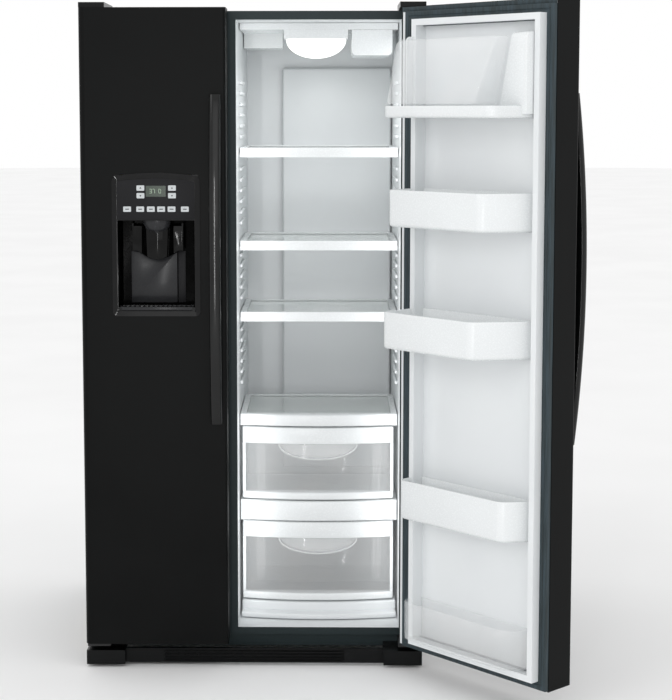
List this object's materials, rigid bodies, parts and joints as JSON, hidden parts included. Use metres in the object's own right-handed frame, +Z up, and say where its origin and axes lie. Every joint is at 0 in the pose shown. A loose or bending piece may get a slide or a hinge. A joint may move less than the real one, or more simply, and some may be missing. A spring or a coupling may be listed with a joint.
{
  "type": "side by side refrigerator",
  "caption": "Side by side refrigerator with a dispenser in its freezer door, the fresh food door open on glass shelves, drawers and door bins.",
  "frame": {"origin": "middle of the underside of the whole object's bounding box, with the fresh food door open", "axes": "+X to the right seen from the front, +Y from the front to the back, +Z up"},
  "size_m": [1.2979, 1.277, 1.785],
  "materials": {
    "black_enamel": "textured black enamel",
    "charcoal_trim": "dark grey-green trim",
    "black_plastic": "gloss black plastic",
    "white_liner": "white vacuum-formed polystyrene",
    "white_plastic": "white moulded plastic",
    "clear_plastic": "clear polystyrene",
    "shelf_glass": "tempered glass",
    "grey_vinyl": "magnetic door seal",
    "galvanised_steel": "galvanised sheet steel",
    "foam": "polyurethane foam",
    "aluminium_fin": "aluminium fins",
    "black_pot": "black painted compressor",
    "lamp_diffuser": "frosted lamp cover",
    "grey_button": "light grey button",
    "display": "display window",
    "roller": "black nylon wheel",
    "brass_fitting": "brass fitting"
  },
  "bodies": {
    "cabinet": {"outer_case": "black_enamel", "mullion_cover": "charcoal_trim", "back_panel": "galvanised_steel", "foam_insulation": "foam", "fridge_liner": "white_liner", "freezer_liner": "white_liner", "shelf_frames": "white_plastic", "shelf_glass": "shelf_glass", "drawer_divider": "white_plastic", "ceiling_housing": "white_plastic", "lamp_lens": "lamp_diffuser", "water_filter_cover": "white_plastic", "freezer_shelves": "white_plastic", "evaporator_cover": "white_liner", "evaporator_coil": "aluminium_fin", "ice_maker": "white_plastic", "base_frame": "galvanised_steel", "compressor": "black_pot", "condenser_coil": "black_pot", "water_inlet_valve": "brass_fitting", "base_grille": "black_plastic", "hinges": "galvanised_steel", "hinge_covers": "black_plastic"},
    "crisper_drawer": {"crisper_drawer": "clear_plastic"},
    "lower_drawer": {"lower_drawer": "clear_plastic"},
    "levelling_leg_left": {"levelling_leg_left": "galvanised_steel"},
    "levelling_leg_right": {"levelling_leg_right": "galvanised_steel"},
    "rear_rollers": {"rear_rollers": "roller"},
    "evaporator_fan": {"evaporator_fan": "black_plastic"},
    "condenser_fan": {"condenser_fan": "black_plastic"},
    "fridge_door": {"fridge_door_panel": "black_enamel", "fridge_door_foam": "foam", "fridge_door_liner": "white_liner", "fridge_door_gasket": "grey_vinyl", "fridge_door_handle": "black_plastic", "dairy_shelf": "white_plastic"},
    "dairy_cover": {"dairy_cover": "clear_plastic"},
    "door_bin_upper": {"door_bin_upper": "white_plastic"},
    "door_bin_middle": {"door_bin_middle": "white_plastic"},
    "door_bin_lower": {"door_bin_lower": "white_plastic"},
    "door_bin_clear": {"door_bin_clear": "clear_plastic"},
    "freezer_door": {"freezer_door_panel": "black_enamel", "freezer_door_foam": "foam", "freezer_door_liner": "white_liner", "freezer_door_gasket": "grey_vinyl", "freezer_door_handle": "black_plastic", "freezer_door_bins": "white_plastic", "dispenser_housing": "black_plastic", "dispenser_display": "display"},
    "dispenser_paddle": {"dispenser_paddle": "black_plastic"},
    "lock_button": {"lock_button": "grey_button"},
    "filter_button": {"filter_button": "grey_button"},
    "water_button": {"water_button": "grey_button"},
    "crushed_ice_button": {"crushed_ice_button": "grey_button"},
    "cubed_ice_button": {"cubed_ice_button": "grey_button"},
    "light_button": {"light_button": "grey_button"},
    "fridge_warmer_button": {"fridge_warmer_button": "grey_button"},
    "fridge_colder_button": {"fridge_colder_button": "grey_button"},
    "freezer_warmer_button": {"freezer_warmer_button": "grey_button"},
    "freezer_colder_button": {"freezer_colder_button": "grey_button"}
  },
  "joints": [
    {"name": "fridge_door_hinge", "type": "hinge", "parent": "cabinet", "child": "fridge_door", "pos_m": [0.24602, -0.17505, 0.9], "axis": [0, 0, 1], "range_deg": [-132.8, 0]},
    {"name": "freezer_door_hinge", "type": "hinge", "parent": "cabinet", "child": "freezer_door", "pos_m": [-0.63399, -0.17505, 0.9], "axis": [0, 0, -1], "range_deg": [0, 130]},
    {"name": "crisper_drawer_slide", "type": "slide", "parent": "cabinet", "child": "crisper_drawer", "axis": [0, -1, 0], "range_m": [0, 0.29]},
    {"name": "lower_drawer_slide", "type": "slide", "parent": "cabinet", "child": "lower_drawer", "axis": [0, -1, 0], "range_m": [0, 0.29]},
    {"name": "dairy_cover_hinge", "type": "hinge", "parent": "fridge_door", "child": "dairy_cover", "pos_m": [0.36601, -0.45917, 1.6805], "axis": [-0.6794, 0.7337, 0], "range_deg": [0, 75]},
    {"name": "door_bin_upper_lift", "type": "slide", "parent": "fridge_door", "child": "door_bin_upper", "axis": [0, 0, 1], "range_m": [0, 0.04]},
    {"name": "door_bin_middle_lift", "type": "slide", "parent": "fridge_door", "child": "door_bin_middle", "axis": [0, 0, 1], "range_m": [0, 0.04]},
    {"name": "door_bin_lower_lift", "type": "slide", "parent": "fridge_door", "child": "door_bin_lower", "axis": [0, 0, 1], "range_m": [0, 0.04]},
    {"name": "door_bin_clear_lift", "type": "slide", "parent": "fridge_door", "child": "door_bin_clear", "axis": [0, 0, 1], "range_m": [0, 0.04]},
    {"name": "levelling_leg_left_screw", "type": "hinge", "parent": "cabinet", "child": "levelling_leg_left", "pos_m": [-0.59598, -0.07205, 0.03], "axis": [0, 0, 1], "continuous": true},
    {"name": "levelling_leg_right_screw", "type": "hinge", "parent": "cabinet", "child": "levelling_leg_right", "pos_m": [0.20802, -0.07205, 0.03], "axis": [0, 0, 1], "continuous": true},
    {"name": "rear_rollers_spin", "type": "hinge", "parent": "cabinet", "child": "rear_rollers", "pos_m": [-0.19398, 0.57795, 0.024], "axis": [1, 0, 0], "continuous": true},
    {"name": "evaporator_fan_spin", "type": "hinge", "parent": "cabinet", "child": "evaporator_fan", "pos_m": [-0.43349, 0.46295, 1.493], "axis": [0, 1, 0], "continuous": true},
    {"name": "condenser_fan_spin", "type": "hinge", "parent": "cabinet", "child": "condenser_fan", "pos_m": [-0.24799, 0.51595, 0.135], "axis": [1, 0, 0], "continuous": true},
    {"name": "dispenser_paddle_hinge", "type": "hinge", "parent": "freezer_door", "child": "dispenser_paddle", "pos_m": [-0.44799, -0.16855, 1.207], "axis": [1, 0, 0], "range_deg": [0, 10], "stiffness_Nm_per_rad": 0.4},
    {"name": "lock_button_press", "type": "slide", "parent": "freezer_door", "child": "lock_button", "axis": [0, 1, 0], "range_m": [0, 0.0008], "stiffness_N_per_m": 300},
    {"name": "filter_button_press", "type": "slide", "parent": "freezer_door", "child": "filter_button", "axis": [0, 1, 0], "range_m": [0, 0.0008], "stiffness_N_per_m": 300},
    {"name": "water_button_press", "type": "slide", "parent": "freezer_door", "child": "water_button", "axis": [0, 1, 0], "range_m": [0, 0.0008], "stiffness_N_per_m": 300},
    {"name": "crushed_ice_button_press", "type": "slide", "parent": "freezer_door", "child": "crushed_ice_button", "axis": [0, 1, 0], "range_m": [0, 0.0008], "stiffness_N_per_m": 300},
    {"name": "cubed_ice_button_press", "type": "slide", "parent": "freezer_door", "child": "cubed_ice_button", "axis": [0, 1, 0], "range_m": [0, 0.0008], "stiffness_N_per_m": 300},
    {"name": "light_button_press", "type": "slide", "parent": "freezer_door", "child": "light_button", "axis": [0, 1, 0], "range_m": [0, 0.0008], "stiffness_N_per_m": 300},
    {"name": "fridge_warmer_button_press", "type": "slide", "parent": "freezer_door", "child": "fridge_warmer_button", "axis": [0, 1, 0], "range_m": [0, 0.0008], "stiffness_N_per_m": 300},
    {"name": "fridge_colder_button_press", "type": "slide", "parent": "freezer_door", "child": "fridge_colder_button", "axis": [0, 1, 0], "range_m": [0, 0.0008], "stiffness_N_per_m": 300},
    {"name": "freezer_warmer_button_press", "type": "slide", "parent": "freezer_door", "child": "freezer_warmer_button", "axis": [0, 1, 0], "range_m": [0, 0.0008], "stiffness_N_per_m": 300},
    {"name": "freezer_colder_button_press", "type": "slide", "parent": "freezer_door", "child": "freezer_colder_button", "axis": [0, 1, 0], "range_m": [0, 0.0008], "stiffness_N_per_m": 300}
  ]
}
